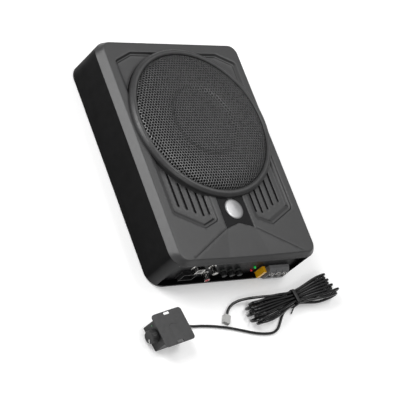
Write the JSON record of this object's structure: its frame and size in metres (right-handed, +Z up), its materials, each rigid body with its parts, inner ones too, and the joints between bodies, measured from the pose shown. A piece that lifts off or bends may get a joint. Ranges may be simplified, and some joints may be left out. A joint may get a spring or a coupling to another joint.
{
  "type": "powered car subwoofer",
  "caption": "Slim powered car subwoofer: flat enclosure, round domed grille, end panel with jacks, knobs, fuse and terminals, plus a wired remote level control.",
  "frame": {"origin": "middle of the pattern of four threaded bushes under the enclosure, at floor level", "axes": "+Z up through the loudspeaker, +Y from the connector panel to the far end, +X to the right seen from above"},
  "size_m": [0.3759, 0.4505, 0.0845],
  "materials": {
    "shell_plastic": "satin textured",
    "ring_plastic": "satin",
    "black_steel": "satin black",
    "mesh_steel": "satin black perforated",
    "screw_steel": "zinc plated",
    "black_screw": "black oxide",
    "foot_rubber": "matte",
    "emblem_black": "gloss",
    "badge_silver": "brushed bright",
    "cone_black": "fibrous matte",
    "spider_cloth": "resin-dipped weave",
    "coil_copper": "enamelled wire",
    "motor_steel": "zinc plated",
    "ferrite": "sintered",
    "strip_board": "phenolic",
    "wire_red": "PVC",
    "circuit_green": "solder mask",
    "heatsink_alu": "extruded",
    "black_plastic": "moulded",
    "capacitor_sleeve": "sleeve",
    "nickel": "nickel plated",
    "pot_body": "satin",
    "slider_white": "moulded",
    "led_green": "translucent",
    "led_red": "translucent",
    "fuse_yellow": "translucent",
    "terminal_grey": "moulded",
    "clamp_brass": "plated",
    "remote_plastic": "fine texture",
    "bracket_black": "satin black",
    "lead_pvc": "semi-gloss PVC",
    "tie_black": "soft",
    "connector_white": "nylon"
  },
  "bodies": {
    "root": {"top_shell": "shell_plastic", "grille_ring": "ring_plastic", "bottom_plate": "black_steel", "control_panel": "black_steel", "speaker_basket": "black_steel", "grille_mesh": "mesh_steel", "bottom_screws": "screw_steel", "board_standoffs": "screw_steel", "panel_screws": "black_screw", "speaker_screws": "black_screw", "rubber_feet": "foot_rubber", "speaker_gasket": "foot_rubber", "surround": "foot_rubber", "emblem_plate": "emblem_black", "emblem_badge": "badge_silver", "spider": "spider_cloth", "toroid": "coil_copper", "top_plate": "motor_steel", "pole_yoke": "motor_steel", "magnet": "ferrite", "speaker_terminal": "strip_board", "speaker_wires": "wire_red", "amp_board": "circuit_green", "remote_board": "circuit_green", "heatsink_bar": "heatsink_alu", "power_transistors": "black_plastic", "rca_block": "black_plastic", "high_input_socket": "black_plastic", "phase_switch": "black_plastic", "fuse_holder": "black_plastic", "capacitors": "capacitor_sleeve", "rca_jacks": "nickel", "remote_port": "nickel", "potentiometers": "pot_body", "power_led": "led_green", "protect_led": "led_red", "terminal_block": "terminal_grey", "remote_housing": "remote_plastic", "remote_base": "remote_plastic", "remote_bracket": "bracket_black", "lead_run": "lead_pvc", "lead_tail": "lead_pvc", "lead_hank": "lead_pvc", "hank_tie": "tie_black", "lead_connector": "connector_white"},
    "cone": {"cone": "cone_black", "dust_cap": "cone_black", "voice_coil": "coil_copper"},
    "level_knob": {"level_knob": "black_plastic"},
    "low_pass_knob": {"low_pass_knob": "black_plastic"},
    "bass_knob": {"bass_knob": "black_plastic"},
    "phase_slider": {"phase_slider": "slider_white"},
    "fuse": {"blade_fuse": "fuse_yellow"},
    "clamp_ground": {"clamp_ground": "clamp_brass"},
    "clamp_remote": {"clamp_remote": "clamp_brass"},
    "clamp_power": {"clamp_power": "clamp_brass"},
    "screw_ground": {"screw_ground": "screw_steel"},
    "screw_remote": {"screw_remote": "screw_steel"},
    "screw_power": {"screw_power": "screw_steel"},
    "remote_knob": {"remote_knob": "remote_plastic"}
  },
  "joints": [
    {"name": "cone_travel", "type": "slide", "parent": "root", "child": "cone", "axis": [0, 0, 1], "range_m": [-0.005, 0.005], "stiffness_N_per_m": 5000, "deforming": ["surround", "spider"]},
    {"name": "level_turn", "type": "hinge", "parent": "root", "child": "level_knob", "pos_m": [-0.013, -0.172, 0.021], "axis": [0, -1, 0], "range_deg": [-150, 150]},
    {"name": "low_pass_turn", "type": "hinge", "parent": "root", "child": "low_pass_knob", "pos_m": [0.0015, -0.172, 0.021], "axis": [0, -1, 0], "range_deg": [-150, 150]},
    {"name": "bass_turn", "type": "hinge", "parent": "root", "child": "bass_knob", "pos_m": [0.016, -0.172, 0.021], "axis": [0, -1, 0], "range_deg": [-150, 150]},
    {"name": "phase_slide", "type": "slide", "parent": "root", "child": "phase_slider", "axis": [1, 0, 0], "range_m": [0, 0.0042]},
    {"name": "fuse_pull", "type": "slide", "parent": "root", "child": "fuse", "axis": [0, -1, 0], "range_m": [0, 0.028]},
    {"name": "clamp_ground_slide", "type": "slide", "parent": "root", "child": "clamp_ground", "axis": [0, -1, 0], "range_m": [0, 0.003]},
    {"name": "screw_ground_turn", "type": "hinge", "parent": "clamp_ground", "child": "screw_ground", "pos_m": [0.0781, -0.176, 0.0185], "axis": [0, -1, 0], "range_deg": [0, 1350]},
    {"name": "clamp_remote_slide", "type": "slide", "parent": "root", "child": "clamp_remote", "axis": [0, -1, 0], "range_m": [0, 0.003]},
    {"name": "screw_remote_turn", "type": "hinge", "parent": "clamp_remote", "child": "screw_remote", "pos_m": [0.0905, -0.176, 0.0185], "axis": [0, -1, 0], "range_deg": [0, 1350]},
    {"name": "clamp_power_slide", "type": "slide", "parent": "root", "child": "clamp_power", "axis": [0, -1, 0], "range_m": [0, 0.003]},
    {"name": "screw_power_turn", "type": "hinge", "parent": "clamp_power", "child": "screw_power", "pos_m": [0.1029, -0.176, 0.0185], "axis": [0, -1, 0], "range_deg": [0, 1350]},
    {"name": "remote_knob_turn", "type": "hinge", "parent": "root", "child": "remote_knob", "pos_m": [-0.16362, -0.25034, 0.013], "axis": [-0.9848, -0.1736, 0], "range_deg": [-150, 150]}
  ],
  "couplings": [
    {"joint": "screw_ground_turn", "follows": "clamp_ground_slide", "rad_per_m": 7853.9},
    {"joint": "screw_remote_turn", "follows": "clamp_remote_slide", "rad_per_m": 7853.9},
    {"joint": "screw_power_turn", "follows": "clamp_power_slide", "rad_per_m": 7853.9}
  ]
}
